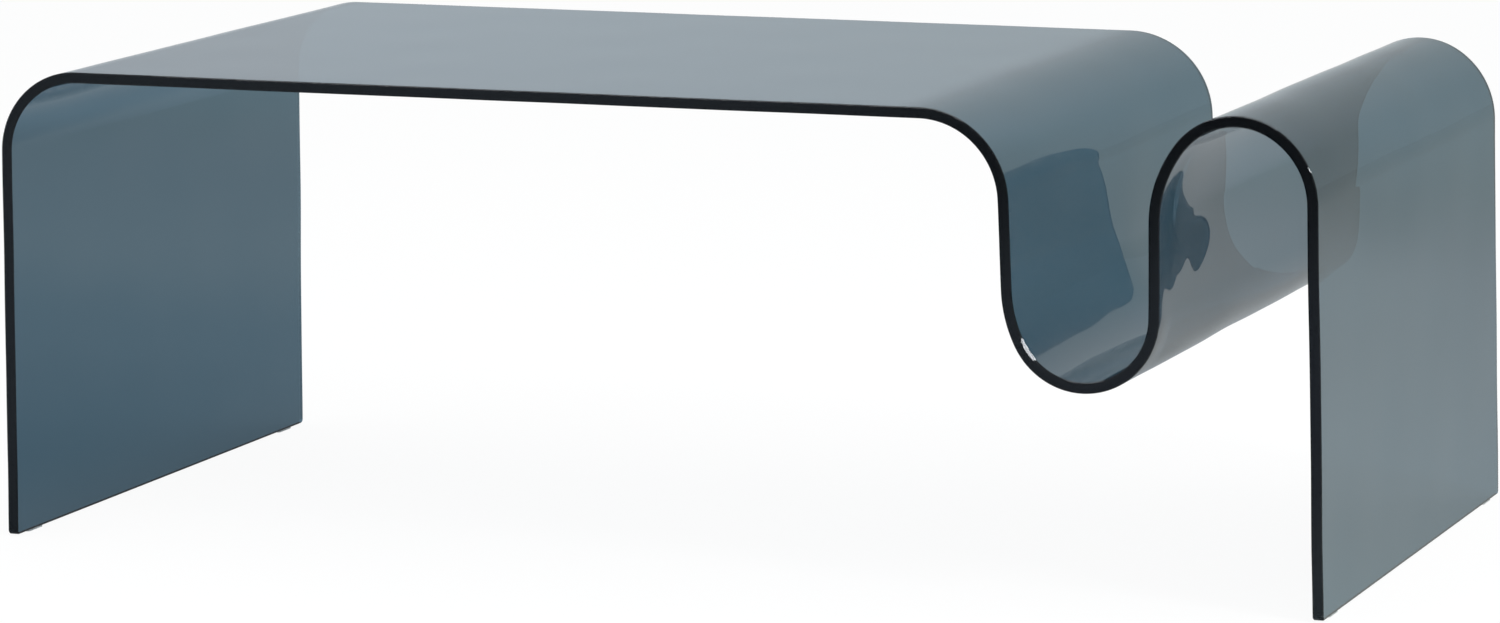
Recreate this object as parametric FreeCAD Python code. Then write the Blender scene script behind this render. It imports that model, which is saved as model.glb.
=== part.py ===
import FreeCAD, Part

import math
import os

# Waterfall coffee table bent from one sheet of smoked glass, standing on four clear pads.
# Millimetres and degrees, +Z up. The sheet's profile lies in XZ and its depth runs along Y.
# The frame's origin is on the floor, under the middle of the table's length and depth.

# Driving dimensions: the whole table
table_length = 1200.0          # outer face of one foot to outer face of the other, at the floor
table_depth = 640.0            # front cut edge to back cut edge
table_height = 416.0           # floor to the upper face of the flat top
loop_height = 419.5            # floor to the top of the raised loop beside the right leg
trough_clearance = 181.0       # floor to the underside of the magazine trough
glass_thickness = 9.5
edge_arris = 1.0               # small bevel ground along every edge of the sheet
foot_corner_radius = 4.0       # rounded corners where the feet meet the cut edges

# Bend radii, each measured on the hollow side of its bend
left_bend_radius = 62.0
right_bend_radius = 69.5
trough_entry_radius = 112.0
trough_floor_radius = 56.5
loop_shoulder_radius = 100.0
loop_crown_radius = 56.0
loop_outer_radius = 66.5

# Slopes and turns of the bent part, in degrees
trough_wall_lean = 2.75        # wall under the right bend, off upright
trough_entry_turn = 22.5       # how far the gentle bend above the trough floor turns
loop_shoulder_turn = 36.0      # how far the gentle bend below the crown turns
loop_outer_slope = 33.0        # slope where the crown's curve passes into the outer curve
right_leg_lean = 1.5           # the right foot stands out from the loop by this angle

# Clear self-adhesive pads under the feet
pad_thickness = 1.5
pad_width = 7.0
pad_length = 30.0
pad_inset = 40.0               # middle of a pad to the nearest cut edge
pad_edge_round = 0.4           # rounding of the edge that faces the floor

UPRIGHT = 90.0
LEVEL = 0.0
SAME = 0.01                    # places closer than this are one place


def direction(heading):
    """Unit vector in XZ along a heading in degrees, where 90 points up."""
    angle = math.radians(heading)
    return FreeCAD.Vector(math.cos(angle), 0.0, math.sin(angle))


def side(heading):
    """Unit vector in XZ to the left of a heading: the sheet's outer or upper face."""
    return direction(heading + UPRIGHT)


def run_to_height(start, heading, height):
    """Straight run of the sheet's middle line that ends at a given height."""
    length = (height - start.z) / direction(heading).z
    end = start + direction(heading) * length
    return [(start, heading), (end, heading)]


def run(start, heading, length):
    """Straight run of the sheet's middle line of a given length."""
    return [(start, heading), (start + direction(heading) * length, heading)]


def bend(start, heading, new_heading, hollow_radius):
    """Round bend of the middle line, as three stations on one arc."""
    radius = hollow_radius + glass_thickness / 2.0
    turn_left = 1.0 if new_heading > heading else -1.0
    centre = start + side(heading) * (radius * turn_left)
    middle_heading = (heading + new_heading) / 2.0
    middle = centre - side(middle_heading) * (radius * turn_left)
    end = centre - side(new_heading) * (radius * turn_left)
    return [(start, heading), (middle, middle_heading), (end, new_heading)]


def climb(heading, new_heading, hollow_radius):
    """Change of height of the middle line along a bend."""
    stations = bend(FreeCAD.Vector(), heading, new_heading, hollow_radius)
    return stations[-1][0].z


def last_point(pieces):
    return pieces[-1][-1][0]


def bent_side(start):
    """Right bend, magazine trough, raised loop and right leg, from the end of the flat top."""
    wall = trough_wall_lean - UPRIGHT
    entry_end = wall + trough_entry_turn
    shoulder_end = UPRIGHT - loop_shoulder_turn
    leg = right_leg_lean - UPRIGHT
    trough_floor = trough_clearance + glass_thickness / 2.0
    loop_crown = loop_height - glass_thickness / 2.0
    wall_foot = trough_floor - climb(wall, entry_end, trough_entry_radius)
    wall_foot -= climb(entry_end, LEVEL, trough_floor_radius)
    loop_spring = loop_crown - climb(UPRIGHT, shoulder_end, loop_shoulder_radius)
    loop_spring -= climb(shoulder_end, LEVEL, loop_crown_radius)

    pieces = [bend(start, LEVEL, wall, right_bend_radius)]
    pieces.append(run_to_height(last_point(pieces), wall, wall_foot))
    pieces.append(bend(last_point(pieces), wall, entry_end, trough_entry_radius))
    pieces.append(bend(last_point(pieces), entry_end, UPRIGHT, trough_floor_radius))
    pieces.append(run_to_height(last_point(pieces), UPRIGHT, loop_spring))
    pieces.append(bend(last_point(pieces), UPRIGHT, shoulder_end, loop_shoulder_radius))
    pieces.append(bend(last_point(pieces), shoulder_end, -loop_outer_slope, loop_crown_radius))
    pieces.append(bend(last_point(pieces), -loop_outer_slope, leg, loop_outer_radius))
    pieces.append(run_to_height(last_point(pieces), leg, pad_thickness))
    return pieces


def foot_cut_point(station, offset):
    """Where a leg, followed straight from this station, meets its level foot cut.

    The offset is measured from the middle line towards the sheet's outer face.
    """
    point, heading = station
    start = point + side(heading) * offset
    length = (pad_thickness - start.z) / direction(heading).z
    return start + direction(heading) * length


def middle_line():
    """The whole sheet's middle line from the left foot to the right foot."""
    top = table_height - glass_thickness / 2.0
    half_glass = glass_thickness / 2.0
    left_foot = FreeCAD.Vector(half_glass - table_length / 2.0, 0.0, pad_thickness)
    bend_start = top - left_bend_radius - half_glass
    pieces = [run_to_height(left_foot, UPRIGHT, bend_start)]
    pieces.append(bend(last_point(pieces), UPRIGHT, LEVEL, left_bend_radius))
    top_start = last_point(pieces)
    trial = bent_side(top_start)
    reach = foot_cut_point(trial[-1][0], half_glass).x
    pieces.append(run(top_start, LEVEL, table_length / 2.0 - reach))
    pieces.extend(bent_side(last_point(pieces)))
    return pieces


def face_points(pieces, offset):
    """Each piece of the middle line moved sideways to one face of the sheet."""
    moved = [[point + side(heading) * offset for point, heading in piece] for piece in pieces]
    moved[0][0] = foot_cut_point(pieces[0][0], offset)
    moved[-1][-1] = foot_cut_point(pieces[-1][0], offset)
    return moved


def edge(points):
    if len(points) == 2:
        return Part.LineSegment(*points).toShape()
    return Part.Arc(*points).toShape()


def profile_face(pieces):
    """Closed outline of the bent sheet, as seen from the front."""
    upper = face_points(pieces, glass_thickness / 2.0)
    lower = face_points(pieces, -glass_thickness / 2.0)
    edges = [edge(points) for points in upper]
    edges.append(edge([upper[-1][-1], lower[-1][-1]]))
    edges.extend(edge(points[::-1]) for points in reversed(lower))
    edges.append(edge([lower[0][0], upper[0][0]]))
    return Part.Face(Part.Wire(edges))


def is_near_foot(candidate):
    return candidate.BoundBox.ZMax < pad_thickness + foot_corner_radius + SAME


def is_on_cut_edge(candidate):
    """True for an edge that lies in the front or back cut face."""
    box = candidate.BoundBox
    return box.YLength < SAME and abs(abs(box.Center.y) - table_depth / 2.0) < SAME


def crosses_foot(candidate):
    """True for a short edge at a foot that runs through the glass, from face to face."""
    box = candidate.BoundBox
    return is_near_foot(candidate) and box.YLength < SAME and box.ZLength < SAME


def bounds_broad_face(candidate):
    """True for an edge around one of the sheet's two broad faces, where the arris is ground."""
    around = is_on_cut_edge(candidate) or is_near_foot(candidate)
    return around and not crosses_foot(candidate)


def bent_glass_sheet():
    profile = profile_face(middle_line())
    profile.translate(FreeCAD.Vector(0.0, -table_depth / 2.0, 0.0))
    sheet = profile.extrude(FreeCAD.Vector(0.0, table_depth, 0.0))
    sheet = sheet.makeFillet(foot_corner_radius, list(filter(crosses_foot, sheet.Edges)))
    return sheet.makeChamfer(edge_arris, list(filter(bounds_broad_face, sheet.Edges)))


def foot_pad(x, y):
    """Round-ended clear pad stuck flat under a foot, with its lower rim rounded."""
    radius = pad_width / 2.0
    straight = (pad_length - pad_width) / 2.0
    front = FreeCAD.Vector(0.0, -straight - radius, 0.0)
    back = FreeCAD.Vector(0.0, straight + radius, 0.0)
    signs = ((-1, -1), (1, -1), (1, 1), (-1, 1))
    corner = [FreeCAD.Vector(sx * radius, sy * straight, 0.0) for sx, sy in signs]
    outline = Part.Wire([
        Part.Arc(corner[0], front, corner[1]).toShape(),
        Part.LineSegment(corner[1], corner[2]).toShape(),
        Part.Arc(corner[2], back, corner[3]).toShape(),
        Part.LineSegment(corner[3], corner[0]).toShape(),
    ])
    pad = Part.Face(outline).extrude(FreeCAD.Vector(0.0, 0.0, pad_thickness))
    rim = [candidate for candidate in pad.Edges if candidate.BoundBox.ZMax < pad_thickness / 2.0]
    pad = pad.makeFillet(pad_edge_round, rim)
    pad.translate(FreeCAD.Vector(x, y, 0.0))
    return pad


def build():
    """Every solid by its node's name."""
    shapes = {"bent_glass_sheet": bent_glass_sheet()}
    pieces = middle_line()
    foot_x = {"left": foot_cut_point(pieces[0][0], 0.0).x, "right": foot_cut_point(pieces[-1][0], 0.0).x}
    pad_y = table_depth / 2.0 - pad_inset
    for leg, x in foot_x.items():
        shapes["foot_pad_%s_front" % leg] = foot_pad(x, -pad_y)
        shapes["foot_pad_%s_back" % leg] = foot_pad(x, pad_y)
    return shapes


os.makedirs("parts", exist_ok=True)
for node, shape in build().items():
    shape.exportStep("parts/%s.step" % node)
    box = shape.BoundBox
    print("%-22s valid %s, %d solid, %.0f mm3" % (node, shape.isValid(), len(shape.Solids), shape.Volume))
    print("    x %.2f to %.2f, y %.2f to %.2f" % (box.XMin, box.XMax, box.YMin, box.YMax), end="")
    print(", z %.2f to %.2f" % (box.ZMin, box.ZMax))
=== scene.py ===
"""Looks of the bent smoked-glass coffee table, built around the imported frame."""

import math

import bmesh
import bpy
from bpy.props import FloatProperty, FloatVectorProperty, IntProperty, PointerProperty
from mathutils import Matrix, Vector


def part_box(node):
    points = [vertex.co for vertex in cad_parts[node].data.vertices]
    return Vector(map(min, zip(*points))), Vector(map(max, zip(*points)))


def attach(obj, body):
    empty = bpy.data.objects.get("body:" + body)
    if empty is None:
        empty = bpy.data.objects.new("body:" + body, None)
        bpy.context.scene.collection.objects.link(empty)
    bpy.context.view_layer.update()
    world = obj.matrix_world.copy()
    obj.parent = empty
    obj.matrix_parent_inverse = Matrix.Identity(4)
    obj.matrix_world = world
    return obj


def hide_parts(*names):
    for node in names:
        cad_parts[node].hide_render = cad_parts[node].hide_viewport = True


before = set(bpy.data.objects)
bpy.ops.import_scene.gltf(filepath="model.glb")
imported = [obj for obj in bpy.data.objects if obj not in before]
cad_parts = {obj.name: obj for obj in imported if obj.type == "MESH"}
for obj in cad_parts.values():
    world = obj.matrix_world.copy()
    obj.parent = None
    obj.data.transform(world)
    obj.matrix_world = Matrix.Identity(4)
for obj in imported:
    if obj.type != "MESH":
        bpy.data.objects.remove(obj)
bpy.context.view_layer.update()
SHEET_LOW, SHEET_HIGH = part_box("bent_glass_sheet")

bl_info = {
    "name": "Bent glass coffee table",
    "version": (1, 0, 0),
    "blender": (4, 5, 0),
    "location": "3D View > Sidebar > Glass Table",
    "description": "Builds a waterfall coffee table bent from one sheet of smoked glass",
    "category": "Object",
}

SHEET_NODE = "bent_glass_sheet"
PAD_NODES = ("foot_pad_left_front", "foot_pad_left_back", "foot_pad_right_front", "foot_pad_right_back")
GROUND_EDGE = "ground_edge"
GROUND = {"broad": 0.0, "arris": 0.4, "rim": 1.0}      # how coarsely each part of the sheet is ground
WHITE = (1.0, 1.0, 1.0)
UPRIGHT = math.radians(90.0)
LEVEL = 0.0
ACROSS = Vector((0.0, 1.0, 0.0))
DOWN = Vector((0.0, 0.0, -1.0))

# Slow waves left by bending the hot sheet. Each is given by its share of the wave height, its turns
# per metre along and across the sheet, and its phase in radians.
WAVES = (
    (1.0, 5.1, 1.7, 0.4),
    (0.8, -3.3, 3.9, 2.1),
    (0.6, 8.7, -2.6, 4.0),
    (0.5, 2.2, 7.3, 5.2),
)
CALM_FOOT = 0.05               # the sheet is even at its feet, and grows uneven over this length
LEVEL_SHARPNESS = 8            # the higher, the sooner a tilted part stops counting as level

# Sags and swells that slumping left in the walls by the trough, in metres. Each is given by its
# middle along the sheet from the left foot and across it, its reach both ways, and its rise.
SWELLS = (
    (1.37, -0.035, 0.025, 0.04, 0.0006),
    (1.44, 0.023, 0.07, 0.047, 0.0023),
    (1.615, -0.16, 0.021, 0.15, 0.0032),
    (1.64, -0.305, 0.01, 0.03, 0.0006),
    (1.64, -0.28, 0.025, 0.012, -0.0003),
    (1.655, -0.22, 0.03, 0.026, 0.0005),
    (1.725, -0.26, 0.028, 0.066, -0.0021),
)
SWELL_MARGIN = 0.05            # swells die out over this distance from a cut edge
WIDEST_ARRIS = 0.01            # the arris is widest this far past the start of the trough's floor

# Haze on the faces of the glass: the fineness and detail of its patches, and the noise values at
# which it starts and is full
HAZE_SCALE = 9.0
HAZE_DETAIL = 4.0
HAZE_START = 0.35
HAZE_FULL = 0.75
PAD_GRAIN_DETAIL = 3.0

# Where one painted floor tone in the glass passes into the next, in metres along X or Y. These tones paint
# the room's light and shade onto the floor as the glass shows it.
CLOSE_TO_NEAR = (0.3, 1.2)
NEAR_LEFT_TO_RIGHT = (0.1, 1.1)
NEAR_SLANT = -0.3              # the near floor turns later along +X the further back it lies
NEAR_TO_FAR = (1.94, 3.04)
FAR_SLANT = 0.25               # the far floor begins sooner along +Y the further right it lies
FAR_LEFT_TO_RIGHT = (-0.2, 0.8)
SHADE_UNDER_TOP_FROM_LEFT = (-0.75, -0.35)
SHADE_UNDER_TOP_FROM_RIGHT = (0.4, 0.1)
SHADE_UNDER_TOP_FROM_BACK = (1.5, 0.8)
FRONT_LEFT_TO_RIGHT = (-0.3, 0.4)
BACK_TO_FRONT = (-0.4, -1.0)
SHADE_IN_FRONT_FROM_LEFT = (-0.9, -0.7)
SHADE_IN_FRONT_FROM_BACK = (-2.1, -2.9)

# Where the room's colours pass into each other, along the axes of a unit vector
ROOM_LEFT_TO_RIGHT = (-0.45, 0.04)
ROOM_LOW_TO_TOP = (0.15, 0.5)

FLOOR_SIDES = 128
OVERHEAD_LAMP = {"place": (0.0, 0.0, 2.6), "aim": (0.0, 0.0, 0.0), "size": (3.0, 3.0)}
SIDE_LAMP = {"place": (2.6, -1.23, 2.0), "aim": (0.35, -0.32, 0.22), "size": (0.7, 1.6)}
SENSOR_WIDTH = 36.0
FARTHEST_SEEN = 200.0


def length_property(name, description, default):
    return FloatProperty(
        name=name, description=description, default=default, min=0.0, unit="LENGTH", precision=5
    )


def angle_property(name, description, degrees):
    return FloatProperty(
        name=name, description=description, default=math.radians(degrees), unit="ROTATION"
    )


def colour_property(name, description, default):
    return FloatVectorProperty(
        name=name, description=description, default=default, size=3, min=0.0, max=1.0, subtype="COLOR"
    )


def share_property(name, description, default):
    return FloatProperty(
        name=name, description=description, default=default, min=0.0, max=1.0, subtype="FACTOR"
    )


def power_property(name, description, default):
    return FloatProperty(name=name, description=description, default=default, min=0.0, unit="POWER")


class BentSheetSizes(bpy.types.PropertyGroup):
    """Sizes of the bent glass sheet."""

    table_length: length_property(
        "Table length", "Outer face of one foot to outer face of the other", -2.0 * SHEET_LOW.x
    )
    table_depth: length_property(
        "Table depth", "Front cut edge to back cut edge", SHEET_HIGH.y - SHEET_LOW.y
    )
    table_height: length_property("Table height", "Floor to the flat top's upper face", 0.416)
    loop_height: length_property("Loop height", "Floor to the top of the raised loop", SHEET_HIGH.z)
    foot_level: length_property("Foot level", "Floor to the level cut under each leg", SHEET_LOW.z)
    trough_clearance: length_property("Trough clearance", "Floor to the trough's underside", 0.181)
    glass_thickness: length_property("Glass thickness", "Thickness of the sheet", 0.0095)
    edge_arris: length_property("Edge arris", "Small bevel ground along every edge", 0.001)
    arris_share: share_property(
        "Arris over face", "Width of the arris over the face, against that over the edge", 0.8
    )
    foot_corner_radius: length_property("Foot corners", "Rounding of each foot's corners", 0.004)
    left_bend_radius: length_property("Left bend", "Hollow-side radius of the left leg's bend", 0.062)
    right_bend_radius: length_property("Right bend", "Hollow-side radius of the right bend", 0.0695)
    trough_entry_radius: length_property(
        "Trough entry", "Radius of the gentle bend above the trough floor", 0.112
    )
    trough_floor_radius: length_property("Trough floor", "Radius of the trough's floor", 0.0565)
    loop_shoulder_radius: length_property("Loop shoulder", "Radius of the bend below the crown", 0.1)
    loop_crown_radius: length_property("Loop crown", "Radius of the loop's crown", 0.056)
    loop_outer_radius: length_property("Loop outer", "Radius of the bend to the right leg", 0.0665)
    trough_wall_lean: angle_property("Trough wall lean", "Wall under the right bend, off upright", 2.75)
    trough_entry_turn: angle_property("Trough entry turn", "Turn of the bend above the floor", 22.5)
    loop_shoulder_turn: angle_property("Loop shoulder turn", "Turn of the bend below the crown", 36.0)
    loop_outer_slope: angle_property(
        "Loop outer slope", "Slope where the crown passes into the outer bend", 33.0
    )
    right_leg_lean: angle_property("Right leg lean", "Angle by which the right foot stands out", 1.5)
    bend_step: angle_property("Bend step", "Turn of the sheet between two rows of the mesh", 2.0)
    row_spacing: length_property("Row spacing", "Most that two rows of a flat part lie apart", 0.02)
    wall_row_spacing: length_property(
        "Wall row spacing", "Most that two rows lie apart in the walls by the trough", 0.005
    )
    cell_width: length_property("Cell width", "Width of the mesh's cells across the sheet", 0.008)
    corner_steps: IntProperty(
        name="Corner steps", description="Rows in each rounded foot corner", default=6, min=1
    )
    wave_height: length_property("Wave height", "Height of the slow waves left by bending", 0.0003)
    level_calm: share_property(
        "Calm of level parts", "How much of the slow waves the level parts lack", 0.7
    )
    soft_start: length_property(
        "Soft start", "How far to each side of its start the right bend eases in", 0.032
    )
    wide_arris: length_property(
        "Wide arris", "How much wider the arris is ground inside the trough's left bend", 0.0016
    )
    wide_arris_reach: length_property(
        "Wide arris reach", "How far along the edge the arris is wider", 0.009
    )
    swell_share: share_property("Swells", "How strongly the walls by the trough sag and swell", 1.0)


class SmokedGlassFinish(bpy.types.PropertyGroup):
    """Tint and surface of the smoked glass."""

    tint: colour_property("Tint", "Colour that the glass lets through", (0.06, 0.36, 0.49))
    tint_density: FloatProperty(
        name="Tint density", description="Absorption per metre of glass", default=200.0, min=0.0
    )
    refraction: FloatProperty(
        name="Refraction", description="Index of refraction of the glass", default=1.52, min=1.0
    )
    face_roughness: share_property("Face roughness", "Roughness of the fire-polished faces", 0.004)
    edge_roughness: share_property("Edge roughness", "Roughness of the ground edges", 0.12)
    edge_tint: colour_property("Edge tint", "Tint of what the cut edges mirror", (0.68, 0.77, 0.9))


class ClearPadFinish(bpy.types.PropertyGroup):
    """Finish of the clear stick-on foot pads."""

    darker: colour_property("Darker grain", "Colour of the plastic's darker grain", (0.72, 0.76, 0.77))
    lighter: colour_property("Lighter grain", "Colour of its lighter grain", (0.84, 0.87, 0.87))
    clearness: share_property("Clearness", "How far light passes through a pad", 0.85)
    refraction: FloatProperty(
        name="Refraction", description="Index of refraction of the plastic", default=1.43, min=1.0
    )
    least_roughness: share_property("Least roughness", "Roughness of the darker grain", 0.25)
    most_roughness: share_property("Most roughness", "Roughness of the lighter grain", 0.45)
    grain_scale: FloatProperty(
        name="Grain scale", description="Fineness of the grain", default=600.0, min=0.0
    )
    grain_height: length_property("Grain height", "Height of the grain", 0.0001)
    grain_strength: share_property("Grain strength", "How strongly the grain shows", 0.3)


class StageSettings(bpy.types.PropertyGroup):
    """Floor, room, light and camera. Most floor colours are painted light and shade that show in the glass.
    """

    floor_colour: colour_property("Floor", "Colour of the pale floor itself", (0.5, 0.52, 0.53))
    floor_radius: length_property("Floor radius", "Radius of the round floor", 30.0)
    # Most of the floor colours below are painted light and shade that show only in the glass
    shade_close_left: colour_property("Close, left", "Close behind the left leg", (0.41, 0.44, 0.455))
    near_left: colour_property("Near, left", "Floor beside the left leg", (0.43, 0.46, 0.465))
    light_near_right: colour_property("Near, right", "Floor beyond the right leg", (0.84, 0.905, 0.85))
    far_left: colour_property("Far, left", "Floor far behind on the left", (0.68, 0.715, 0.72))
    far_right: colour_property("Far, right", "Floor far behind on the right", (0.41, 0.455, 0.42))
    shade_under_top: colour_property("Under the top", "Floor between the legs", (0.22, 0.255, 0.29))
    front_left: colour_property("Front, left", "Floor in front of the left leg", (0.52, 0.55, 0.56))
    front_right: colour_property("Front, right", "Floor in front of the right leg", (0.42, 0.43, 0.48))
    shade_in_front: colour_property("Dark front", "Floor far in front of the table", (0.03, 0.03, 0.035))
    # Share of the glowing painted light and shade in what the glass shows of the floor; the rest is the lit
    # floor with its real shadows
    painted_light_share: share_property(
        "Even floor in glass", "How far the glass shows the floor without its shadows", 0.7
    )
    camera_white: share_property(
        "White to the camera", "How far the floor turns white for the camera", 0.94
    )
    room_left: colour_property("Room, left", "Room low down on the left", (0.585, 0.648, 0.7))
    room_right: colour_property("Room, right", "Room low down on the right", (0.4, 0.45, 0.44))
    room_top: colour_property("Room, top", "Colour of the room overhead", (0.6, 0.64, 0.66))
    overhead_power: power_property("Overhead lamp", "Power of the overhead soft lamp", 40.0)
    side_power: power_property("Side lamp", "Power of the small soft lamp on the right", 50.0)
    lens: FloatProperty(
        name="Lens", description="Focal length", default=158.79, min=1.0, unit="CAMERA"
    )
    camera_distance: length_property("Camera distance", "Camera to the point that it aims at", 5.6034)
    camera_azimuth: angle_property("Camera azimuth", "Camera's angle round the table", 19.3688)
    camera_elevation: angle_property("Camera elevation", "Camera's angle above the level", 8.5379)
    camera_aim: FloatVectorProperty(
        name="Camera aim",
        description="Point that the camera aims at",
        default=(0.0971, -0.32, 0.23594),
        size=3,
        subtype="TRANSLATION",
    )


class TableSettings(bpy.types.PropertyGroup):
    """Everything that a user may change."""

    sheet: PointerProperty(type=BentSheetSizes)
    glass: PointerProperty(type=SmokedGlassFinish)
    pads: PointerProperty(type=ClearPadFinish)
    stage: PointerProperty(type=StageSettings)


def direction(heading):
    """Unit vector along a heading, where 90 degrees points up."""
    return Vector((math.cos(heading), 0.0, math.sin(heading)))


def side(heading):
    """Unit vector to the left of a heading: the sheet's outer or upper face."""
    return direction(heading + UPRIGHT)


class MiddleLine:
    """The sheet's middle line, walked from the left foot. Each station is (point, heading)."""

    def __init__(self, sizes, start, heading):
        self.sizes = sizes
        self.row_spacing = sizes.row_spacing
        self.stations = [(start, heading)]
        self.marks = {}

    @property
    def point(self):
        return self.stations[-1][0]

    @property
    def heading(self):
        return self.stations[-1][1]

    def mark(self, name):
        """Remembers the last station under a name."""
        self.marks[name] = len(self.stations) - 1

    def run(self, length):
        """Straight run of a given length."""
        start, heading = self.stations[-1]
        count = max(1, math.ceil(length / self.row_spacing))
        for i in range(1, count + 1):
            self.stations.append((start + direction(heading) * (length * i / count), heading))

    def run_to_height(self, height):
        """Straight run that ends at a given height."""
        self.run((height - self.point.z) / direction(self.heading).z)

    def bend(self, new_heading, hollow_radius):
        """Round bend to a new heading."""
        start, heading = self.stations[-1]
        turn = new_heading - heading
        reach = math.copysign(hollow_radius + self.sizes.glass_thickness / 2.0, turn)
        centre = start + side(heading) * reach
        count = max(1, math.ceil(abs(turn) / self.sizes.bend_step))
        for i in range(1, count + 1):
            there = heading + turn * i / count
            self.stations.append((centre - side(there) * reach, there))

    def lengths(self):
        """Length of the sheet from the left foot to each station."""
        found = [0.0]
        for (before, _), (after, _) in zip(self.stations, self.stations[1:]):
            found.append(found[-1] + (after - before).length)
        return found


def climb(sizes, heading, new_heading, hollow_radius):
    """Change of height along a bend."""
    reach = math.copysign(hollow_radius + sizes.glass_thickness / 2.0, new_heading - heading)
    return (side(heading) - side(new_heading)).z * reach


def add_bent_side(line, sizes):
    """Right bend, magazine trough, raised loop and right leg, from the end of the flat top."""
    half = sizes.glass_thickness / 2.0
    wall = sizes.trough_wall_lean - UPRIGHT
    entry_end = wall + sizes.trough_entry_turn
    shoulder_end = UPRIGHT - sizes.loop_shoulder_turn
    wall_foot = sizes.trough_clearance + half - climb(sizes, wall, entry_end, sizes.trough_entry_radius)
    wall_foot -= climb(sizes, entry_end, LEVEL, sizes.trough_floor_radius)
    loop_spring = sizes.loop_height - half
    loop_spring -= climb(sizes, UPRIGHT, shoulder_end, sizes.loop_shoulder_radius)
    loop_spring -= climb(sizes, shoulder_end, LEVEL, sizes.loop_crown_radius)

    line.row_spacing = sizes.wall_row_spacing
    line.mark("right bend")
    line.bend(wall, sizes.right_bend_radius)
    line.mark("trough wall")
    line.run_to_height(wall_foot)
    line.bend(entry_end, sizes.trough_entry_radius)
    line.mark("trough floor")
    line.bend(UPRIGHT, sizes.trough_floor_radius)
    line.run_to_height(loop_spring)
    line.bend(shoulder_end, sizes.loop_shoulder_radius)
    line.bend(-sizes.loop_outer_slope, sizes.loop_crown_radius)
    line.bend(sizes.right_leg_lean - UPRIGHT, sizes.loop_outer_radius)
    line.row_spacing = sizes.row_spacing
    line.run_to_height(sizes.foot_level)


def middle_line(sizes):
    """The middle line from the left foot to the right foot."""
    half = sizes.glass_thickness / 2.0
    left_foot = Vector((half - sizes.table_length / 2.0, 0.0, sizes.foot_level))
    line = MiddleLine(sizes, left_foot, UPRIGHT)
    line.run_to_height(sizes.table_height - sizes.glass_thickness - sizes.left_bend_radius)
    line.bend(LEVEL, sizes.left_bend_radius)
    trial = MiddleLine(sizes, line.point, LEVEL)
    add_bent_side(trial, sizes)
    reach = trial.point.x + half / math.cos(sizes.right_leg_lean)
    line.run(sizes.table_length / 2.0 - reach - sizes.soft_start)
    line.row_spacing = sizes.wall_row_spacing
    line.run(sizes.soft_start)
    add_bent_side(line, sizes)
    return line


def swell(sizes, along, across):
    """Height of the sags and swells of the walls by the trough, with its slopes along and across."""
    height = slope_along = slope_across = 0.0
    for middle_along, middle_across, reach_along, reach_across, rise in SWELLS:
        off_along, off_across = along - middle_along, across - middle_across
        far = (off_along / reach_along) ** 2 + (off_across / reach_across) ** 2
        here = rise * sizes.swell_share * math.exp(-far / 2.0)
        height += here
        slope_along -= here * off_along / reach_along ** 2
        slope_across -= here * off_across / reach_across ** 2
    inside = (sizes.table_depth / 2.0 - abs(across)) / SWELL_MARGIN
    if inside >= 1.0:
        return height, slope_along, slope_across
    inside = max(0.0, inside)
    fade = inside * inside * (3.0 - 2.0 * inside)
    fade_slope = -math.copysign(6.0 * inside * (1.0 - inside) / SWELL_MARGIN, across)
    return height * fade, slope_along * fade, slope_across * fade + height * fade_slope


def unevenness(sizes, along, across, wave_strength):
    """Height of the slow waves and the swells together, with its slopes along and across."""
    height = slope_along = slope_across = 0.0
    for weight, turns_along, turns_across, phase in WAVES:
        angle = math.tau * (turns_along * along + turns_across * across) + phase
        height += weight * math.sin(angle)
        slope_along += weight * math.tau * turns_along * math.cos(angle)
        slope_across += weight * math.tau * turns_across * math.cos(angle)
    scale = wave_strength * sizes.wave_height / 2.0
    waves = (height, slope_along, slope_across)
    return tuple(part * scale + more for part, more in zip(waves, swell(sizes, along, across)))


def eased_turn(sizes, past):
    """How much further down the sheet faces near the right bend's start than a sharp start gives.

    past is the distance past that start. The turn grows with its square over the whole soft start.
    """
    soft = sizes.soft_start
    if abs(past) >= soft:
        return 0.0
    radius = sizes.right_bend_radius + sizes.glass_thickness / 2.0
    return ((past + soft) ** 2 / (4.0 * soft) - max(0.0, past)) / radius


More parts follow.
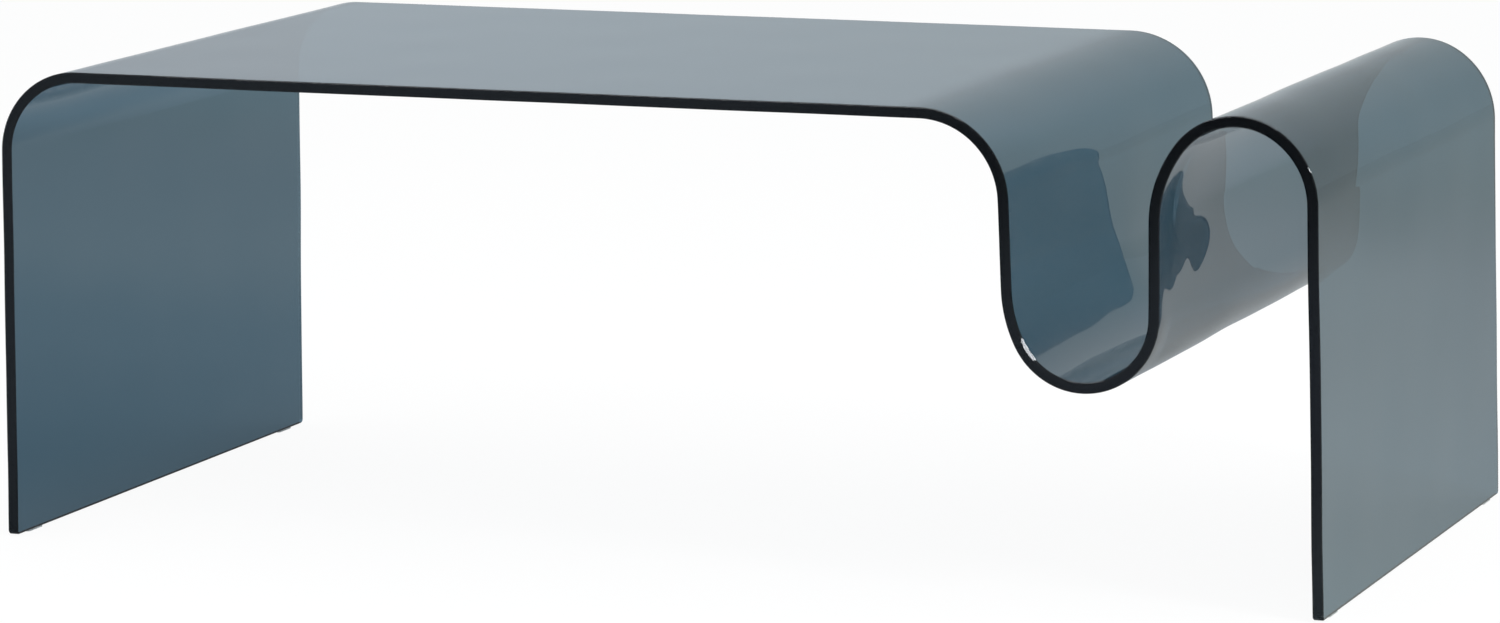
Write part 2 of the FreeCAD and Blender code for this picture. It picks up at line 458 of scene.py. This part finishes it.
class BentSheet:
    """The sheet's closed mesh, with ground arrises, rounded foot corners and exact normals.

    Its rows run from foot to foot. Each is (station, corner angle), and the angle is None away from
    the feet. The ring of points of a row goes over the outer face from front to back, round the
    back cut edge, over the inner face from back to front, and round the front cut edge.
    """

    def __init__(self, sizes):
        line = middle_line(sizes)
        self.sizes = sizes
        self.stations = line.stations
        self.lengths = line.lengths()
        self.bend_start = self.lengths[line.marks["right bend"]]
        self.wall_start = self.lengths[line.marks["trough wall"]]
        self.widest_arris = self.lengths[line.marks["trough floor"]] + WIDEST_ARRIS
        self.half = sizes.glass_thickness / 2.0
        self.half_depth = sizes.table_depth / 2.0
        self.arris = sizes.edge_arris
        self.face_arris = sizes.edge_arris * sizes.arris_share
        self.cells = max(2, math.ceil(sizes.table_depth / sizes.cell_width))
        self.last = len(self.stations) - 1
        self.bm = bmesh.new()
        self.ground_layer = self.bm.faces.layers.float.new(GROUND_EDGE)
        self.normals = []

    def rows(self):
        """Every row from the left foot to the right foot."""
        steps = self.sizes.corner_steps
        angles = [UPRIGHT * i / steps for i in range(steps, -1, -1)]
        rows = [(0, angle) for angle in angles]
        rows += [(i, None) for i in range(1, self.last)]
        rows += [(self.last, angle) for angle in reversed(angles)]
        return rows

    def place(self, row, off, offset, y):
        """A point of a row, the sheet's normal there, and the direction along the sheet.

        off is the distance from the level foot cut, for the rows in a foot's corners, and offset is
        the height over the middle line.
        """
        index, angle = row
        sizes = self.sizes
        centre, heading = self.stations[index]
        outward, along = side(heading), direction(heading)
        s = self.lengths[index]
        base = centre + outward * offset
        if angle is not None:
            foot_cut = base + along * ((sizes.foot_level - base.z) / along.z)
            base = foot_cut + (along if index == 0 else -along) * off
            s += off if index == 0 else -off
        levelness = math.cos(heading) ** LEVEL_SHARPNESS if s < self.wall_start else 0.0
        rise = unevenness(sizes, s, y, 1.0 - sizes.level_calm * levelness)
        fade = min(1.0, s / CALM_FOOT, (self.lengths[-1] - s) / CALM_FOOT)
        height, slope_along, slope_across = (part * fade for part in rise)
        facing = heading - eased_turn(sizes, s - self.bend_start)
        normal = side(facing) - direction(facing) * slope_along - ACROSS * slope_across
        return base + outward * height + ACROSS * y, normal.normalized(), along

    def ring_point(self, row, outline, offset, y, off, arris_size):
        """One new point of a ring, with its normal for each zone of the sheet that meets there."""
        spot, normal, along = self.place(row, off, offset, y)
        outward = normal if offset > 0.0 else -normal
        y_sign = 1.0 if y > 0.0 else -1.0
        to_foot = -1.0 if row[0] == 0 else 1.0
        rim = ACROSS * (y_sign * outline[0]) + along * (to_foot * outline[1])
        over_face, over_rim = arris_size
        return {
            "vertex": self.bm.verts.new(spot),
            "broad": outward,
            "rim": rim,
            "arris": (outward * over_face + rim * over_rim).normalized(),
        }

    def ring(self, row):
        """One row's points in order round the sheet."""
        index, angle = row
        radius = 0.0 if angle is None else self.sizes.foot_corner_radius
        outline = (math.cos(angle or 0.0), math.sin(angle or 0.0))
        half, arris, face_arris, cells = self.half, self.arris, self.face_arris, self.cells
        centre = self.half_depth - radius
        inset = centre + (radius - face_arris) * outline[0]
        rim = centre + radius * outline[0]
        inset_off = radius - (radius - face_arris) * outline[1]
        rim_off = radius - radius * outline[1]

        # The front arris of the outer face is ground wider inside the trough's left bend.
        off_widest = (self.lengths[index] - self.widest_arris) / self.sizes.wide_arris_reach
        bell = math.exp(-off_widest ** 2 / 2.0)
        wider = self.sizes.wide_arris * bell
        wider_face = wider + (arris - face_arris) * bell
        plain, wide = (face_arris, arris), (face_arris + wider_face, arris + wider)

        spots = []
        for i in range(cells + 1):
            y = wider_face - inset + (2.0 * inset - wider_face) * i / cells
            spots.append((half, y, inset_off, wide if i == 0 else plain))
        spots.append((half - arris, rim, rim_off, plain))
        spots.append((arris - half, rim, rim_off, plain))
        for i in range(cells + 1):
            spots.append((-half, inset - 2.0 * inset * i / cells, inset_off, plain))
        spots.append((arris - half, -rim, rim_off, plain))
        spots.append((half - arris - wider, -rim, rim_off, wide))
        return [self.ring_point(row, outline, *spot) for spot in spots]

    def zone(self, segment):
        """Which zone a segment of the ring belongs to: broad face, arris or cut rim."""
        cells = self.cells
        if segment < cells or cells + 3 <= segment < 2 * cells + 3:
            return "broad"
        if segment in (cells + 1, 2 * cells + 4):
            return "rim"
        return "arris"

    def add_face(self, corners, zone, flip=False):
        """Adds a face from (vertex, normal) pairs, ground as its zone is."""
        if flip:
            corners = corners[::-1]
        face = self.bm.faces.new([vertex for vertex, _ in corners])
        face[self.ground_layer] = GROUND[zone]
        face.smooth = True
        self.normals.extend(normal for _, normal in corners)

    def join(self, before, after):
        """Adds the faces between two rings."""
        for i in range(len(before)):
            j = (i + 1) % len(before)
            zone = self.zone(i)
            corners = [(point["vertex"], point[zone]) for point in (before[i], after[i], after[j], before[j])]
            self.add_face(corners, zone)

    def cut_line(self, index, face_points, offset, front, back):
        """Vertices from front to back where a foot's arris meets its level cut."""
        line = [front["vertex"]]
        for point in face_points[1:-1]:
            spot, _, _ = self.place((index, UPRIGHT), 0.0, offset, point["vertex"].co.y)
            line.append(self.bm.verts.new(spot))
        return line + [back["vertex"]]

    def close_foot(self, points, index):
        """Adds the arrises and the level cut under one foot, onto the ring beside it.

        points is that ring, and its two faces are both taken from front to back.
        """
        cells = self.cells
        is_right = index > 0
        upper = points[:cells + 1]
        back_upper, back_lower = points[cells + 1:cells + 3]
        lower = points[cells + 3:2 * cells + 4][::-1]
        front_lower, front_upper = points[2 * cells + 4:]
        to_floor = direction(self.stations[index][1]) * (1.0 if is_right else -1.0)
        upper_cut = self.cut_line(index, upper, self.half - self.arris, front_upper, back_upper)
        lower_cut = self.cut_line(index, lower, self.arris - self.half, front_lower, back_lower)
        for i in range(cells):
            for face_points, cut in ((upper, upper_cut), (lower, lower_cut)):
                a, b = face_points[i], face_points[i + 1]
                at_a = (a["broad"] + to_floor).normalized()
                at_b = (b["broad"] + to_floor).normalized()
                corners = [(a["vertex"], at_a), (b["vertex"], at_b), (cut[i + 1], at_b), (cut[i], at_a)]
                self.add_face(corners, "arris", (cut is lower_cut) != is_right)
            under = (upper_cut[i], upper_cut[i + 1], lower_cut[i + 1], lower_cut[i])
            self.add_face([(vertex, DOWN) for vertex in under], "rim", is_right)

    def make(self):
        """The finished mesh."""
        rings = [self.ring(row) for row in self.rows()]
        for before, after in zip(rings, rings[1:]):
            self.join(before, after)
        self.close_foot(rings[0], 0)
        self.close_foot(rings[-1], self.last)
        mesh = bpy.data.meshes.new("bent_sheet")
        self.bm.to_mesh(mesh)
        self.bm.free()
        mesh.normals_split_custom_set([tuple(normal) for normal in self.normals])
        return mesh


class NodeBench:
    """Short ways to lay out the nodes of a material or of the world."""

    def __init__(self, tree):
        self.nodes = tree.nodes
        self.links = tree.links
        self.nodes.clear()

    def feed(self, socket, value):
        """Joins another node's output to a socket, or sets the socket's own value."""
        if isinstance(value, bpy.types.NodeSocket):
            self.links.new(value, socket)
        elif socket.type == "RGBA":
            socket.default_value = (*value, 1.0)
        else:
            socket.default_value = value

    def add(self, kind, inputs=None, **settings):
        """Adds a node with its settings and inputs."""
        node = self.nodes.new("ShaderNode" + kind)
        for name, value in settings.items():
            setattr(node, name, value)
        for name, value in (inputs or {}).items():
            self.feed(node.inputs[name], value)
        return node

    def blend(self, share, first, second):
        """A colour between two colours."""
        node = self.add("Mix", {"Factor": share, "A": first, "B": second}, data_type="RGBA")
        return node.outputs["Result"]

    def step(self, source, reach):
        """A smooth 0 to 1 as a value goes from one end of a reach to the other."""
        inputs = {"Value": source, "From Min": reach[0], "From Max": reach[1]}
        return self.add("MapRange", inputs, interpolation_type="SMOOTHSTEP").outputs["Result"]

    def calculate(self, operation, *values):
        """The result of a sum on sockets or plain numbers."""
        return self.add("Math", dict(enumerate(values)), operation=operation).outputs["Value"]

    def mix_shaders(self, share, first, second):
        return self.add("MixShader", {"Fac": share, 1: first, 2: second}).outputs["Shader"]

    def glow(self, colour):
        return self.add("Emission", {"Color": colour}).outputs["Emission"]

    def axes(self, coordinate):
        """The X, Y and Z of a texture coordinate."""
        place = self.add("TexCoord").outputs[coordinate]
        parts = self.add("SeparateXYZ", {"Vector": place})
        return parts.outputs["X"], parts.outputs["Y"], parts.outputs["Z"]

    def noise(self, scale, detail):
        """Noise that is fixed to the object."""
        place = self.add("TexCoord").outputs["Object"]
        return self.add("TexNoise", {"Vector": place, "Scale": scale, "Detail": detail}).outputs["Fac"]


def new_material(name):
    material = bpy.data.materials.new(name)
    material.use_nodes = True
    return material, NodeBench(material.node_tree)


def smoked_glass_material(finish):
    """Smoked glass: clear surface, colour by absorption, a trace of haze and softly ground edges."""
    material, bench = new_material("smoked_glass")
    edge = bench.add("Attribute", attribute_name=GROUND_EDGE).outputs["Fac"]
    face_roughness = bench.add("MapRange", {
        "Value": bench.noise(HAZE_SCALE, HAZE_DETAIL),
        "From Min": HAZE_START,
        "From Max": HAZE_FULL,
        "To Min": 0.0,
        "To Max": finish.face_roughness,
    })
    roughness = bench.add("Mix", {
        "Factor": edge,
        "A": face_roughness.outputs["Result"],
        "B": finish.edge_roughness,
    })
    surface = bench.add("BsdfPrincipled", {
        "Base Color": WHITE,
        "IOR": finish.refraction,
        "Transmission Weight": 1.0,
        "Roughness": roughness.outputs["Result"],
        "Specular Tint": bench.blend(edge, WHITE, finish.edge_tint),
    })
    absorption = bench.add("VolumeAbsorption", {"Color": finish.tint, "Density": finish.tint_density})
    bench.add("OutputMaterial", {
        "Surface": surface.outputs["BSDF"],
        "Volume": absorption.outputs["Volume"],
    })
    return material


def clear_pad_material(finish):
    """Clear soft plastic of the stick-on foot pads."""
    material, bench = new_material("clear_pad")
    grain = bench.noise(finish.grain_scale, PAD_GRAIN_DETAIL)
    colour = bench.add("ValToRGB", {"Fac": grain})
    for stop, shade in zip(colour.color_ramp.elements, (finish.darker, finish.lighter)):
        stop.color = (*shade, 1.0)
    roughness = bench.add("MapRange", {
        "Value": grain,
        "To Min": finish.least_roughness,
        "To Max": finish.most_roughness,
    })
    bump = bench.add("Bump", {
        "Strength": finish.grain_strength,
        "Distance": finish.grain_height,
        "Height": grain,
    })
    surface = bench.add("BsdfPrincipled", {
        "Base Color": colour.outputs["Color"],
        "IOR": finish.refraction,
        "Transmission Weight": finish.clearness,
        "Roughness": roughness.outputs["Result"],
        "Normal": bump.outputs["Normal"],
    })
    bench.add("OutputMaterial", {"Surface": surface.outputs["BSDF"]})
    return material


def painted_floor_light(bench, stage):
    """Painted light and shade of the floor as the glass shows it, from zone to zone: painted shade close
    behind the left leg, under the top and far in front, and painted light beyond the right leg.
    """
    x, y, _ = bench.axes("Object")
    # Painted shade close behind the left leg, and painted light on the floor beyond the right leg
    near = bench.blend(bench.step(y, CLOSE_TO_NEAR), stage.shade_close_left, stage.near_left)
    rightward = bench.step(bench.calculate("MULTIPLY_ADD", y, NEAR_SLANT, x), NEAR_LEFT_TO_RIGHT)
    near = bench.blend(rightward, near, stage.light_near_right)
    far = bench.blend(bench.step(x, FAR_LEFT_TO_RIGHT), stage.far_left, stage.far_right)
    backward = bench.step(bench.calculate("MULTIPLY_ADD", x, FAR_SLANT, y), NEAR_TO_FAR)
    even = bench.blend(backward, near, far)

    # Painted shade of the table top on the floor between the legs
    from_sides = bench.calculate(
        "MULTIPLY", bench.step(x, SHADE_UNDER_TOP_FROM_LEFT), bench.step(x, SHADE_UNDER_TOP_FROM_RIGHT)
    )
    shaded = bench.calculate("MULTIPLY", from_sides, bench.step(y, SHADE_UNDER_TOP_FROM_BACK))
    even = bench.blend(shaded, even, stage.shade_under_top)

    # Painted lighter and darker tones in front of the legs, then painted dark shade on the floor far in front
    # of the table
    front = bench.blend(bench.step(x, FRONT_LEFT_TO_RIGHT), stage.front_left, stage.front_right)
    even = bench.blend(bench.step(y, BACK_TO_FRONT), even, front)
    in_front = bench.calculate(
        "MULTIPLY", bench.step(x, SHADE_IN_FRONT_FROM_LEFT), bench.step(y, SHADE_IN_FRONT_FROM_BACK)
    )
    return bench.blend(in_front, even, stage.shade_in_front)


def floor_material(stage):
    """Pale floor: white to the camera but for a faint shadow, and in the glass mostly a glowing painted
    pattern of light and shade over the lit floor.
    """
    material, bench = new_material("pale_floor")
    path = bench.add("LightPath")
    seen = path.outputs["Is Camera Ray"]
    lit = bench.add("BsdfDiffuse", {"Color": bench.blend(seen, stage.floor_colour, WHITE)})
    # Glossy and transmission rays see mostly the glowing painted light and shade of the floor
    in_glass = bench.calculate("MAXIMUM", path.outputs["Is Glossy Ray"], path.outputs["Is Transmission Ray"])
    share = bench.calculate("MULTIPLY", in_glass, stage.painted_light_share)
    surface = bench.mix_shaders(share, lit.outputs["BSDF"], bench.glow(painted_floor_light(bench, stage)))
    share = bench.calculate("MULTIPLY", seen, stage.camera_white)
    surface = bench.mix_shaders(share, surface, bench.glow(WHITE))
    bench.add("OutputMaterial", {"Surface": surface})
    return material


def add_world(stage):
    """A plain room: paler on the left, greyer on the right, white to the camera."""
    world = bpy.data.worlds.new("studio_room")
    world.use_nodes = True
    bench = NodeBench(world.node_tree)
    x, _, z = bench.axes("Generated")
    walls = bench.blend(bench.step(x, ROOM_LEFT_TO_RIGHT), stage.room_left, stage.room_right)
    room = bench.blend(bench.step(z, ROOM_LOW_TO_TOP), walls, stage.room_top)
    seen = bench.add("LightPath").outputs["Is Camera Ray"]
    background = bench.add("Background", {"Color": bench.blend(seen, room, WHITE)})
    bench.add("OutputWorld", {"Surface": background.outputs["Background"]})
    bpy.context.scene.world = world


def add_object(name, data):
    made = bpy.data.objects.new(name, data)
    bpy.context.scene.collection.objects.link(made)
    return made


def face_along(thing, facing):
    """Turns a lamp or the camera to face along a direction."""
    thing.rotation_mode = "QUATERNION"
    thing.rotation_quaternion = facing.to_track_quat("-Z", "Y")


def add_lamp(name, lamp, power):
    data = bpy.data.lights.new(name, "AREA")
    data.shape = "RECTANGLE"
    data.size, data.size_y = lamp["size"]
    data.energy = power
    made = add_object(name, data)
    made.location = lamp["place"]
    face_along(made, Vector(lamp["aim"]) - Vector(lamp["place"]))
    made.visible_camera = False


def add_floor(stage):
    mesh = bpy.data.meshes.new("floor")
    bm = bmesh.new()
    bmesh.ops.create_circle(bm, cap_ends=True, radius=stage.floor_radius, segments=FLOOR_SIDES)
    bm.to_mesh(mesh)
    bm.free()
    mesh.materials.append(floor_material(stage))
    floor = add_object("floor", mesh)


def add_camera(stage):
    data = bpy.data.cameras.new("camera")
    data.sensor_fit = "HORIZONTAL"
    data.sensor_width = SENSOR_WIDTH
    data.lens = stage.lens
    data.clip_end = FARTHEST_SEEN
    camera = add_object("camera", data)
    azimuth, elevation = stage.camera_azimuth, stage.camera_elevation
    back = Vector((
        math.sin(azimuth) * math.cos(elevation),
        -math.cos(azimuth) * math.cos(elevation),
        math.sin(elevation),
    ))
    camera.location = Vector(stage.camera_aim) + back * stage.camera_distance
    face_along(camera, -back)
    bpy.context.scene.camera = camera


class OBJECT_OT_table_glass_sheet(bpy.types.Operator):
    """Build the bent smoked-glass sheet in place of its plain solid"""

    bl_idname = "object.table_glass_sheet"
    bl_label = "Bent glass sheet"

    def execute(self, context):
        settings = context.scene.glass_table
        mesh = BentSheet(settings.sheet).make()
        mesh.materials.append(smoked_glass_material(settings.glass))
        sheet = add_object("bent_glass", mesh)
        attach(sheet, "root")
        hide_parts(SHEET_NODE)
        return {"FINISHED"}


class OBJECT_OT_table_foot_pads(bpy.types.Operator):
    """Give the four clear foot pads their finish"""

    bl_idname = "object.table_foot_pads"
    bl_label = "Foot pads"

    def execute(self, context):
        material = clear_pad_material(context.scene.glass_table.pads)
        for name in PAD_NODES:
            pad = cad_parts[name]
            pad.data.materials.clear()
            pad.data.materials.append(material)
        return {"FINISHED"}


class OBJECT_OT_table_stage(bpy.types.Operator):
    """Add the pale floor, the soft light, the room and the camera"""

    bl_idname = "object.table_stage"
    bl_label = "Stage"

    def execute(self, context):
        stage = context.scene.glass_table.stage
        context.scene.view_settings.view_transform = "Standard"
        add_floor(stage)
        add_world(stage)
        add_lamp("overhead_lamp", OVERHEAD_LAMP, stage.overhead_power)
        add_lamp("side_lamp", SIDE_LAMP, stage.side_power)
        add_camera(stage)
        return {"FINISHED"}


class VIEW3D_PT_glass_table(bpy.types.Panel):
    """Sizes, finishes and build steps of the table"""

    bl_label = "Glass Table"
    bl_idname = "VIEW3D_PT_glass_table"
    bl_space_type = "VIEW_3D"
    bl_region_type = "UI"
    bl_category = "Glass Table"

    def draw(self, context):
        settings = context.scene.glass_table
        for label, groups, operator in (
            ("Glass sheet", (settings.sheet, settings.glass), OBJECT_OT_table_glass_sheet),
            ("Foot pads", (settings.pads,), OBJECT_OT_table_foot_pads),
            ("Stage", (settings.stage,), OBJECT_OT_table_stage),
        ):
            box = self.layout.box()
            box.label(text=label)
            for group in groups:
                for name in group.__annotations__:
                    box.prop(group, name)
            box.operator(operator.bl_idname)


CLASSES = (
    BentSheetSizes,
    SmokedGlassFinish,
    ClearPadFinish,
    StageSettings,
    TableSettings,
    OBJECT_OT_table_glass_sheet,
    OBJECT_OT_table_foot_pads,
    OBJECT_OT_table_stage,
    VIEW3D_PT_glass_table,
)


def register():
    for cls in CLASSES:
        bpy.utils.register_class(cls)
    bpy.types.Scene.glass_table = PointerProperty(type=TableSettings)


def unregister():
    del bpy.types.Scene.glass_table
    for cls in reversed(CLASSES):
        bpy.utils.unregister_class(cls)


def main():
    register()
    bpy.ops.object.table_stage()
    bpy.ops.object.table_glass_sheet()
    bpy.ops.object.table_foot_pads()


if __name__ == "__main__":
    main()
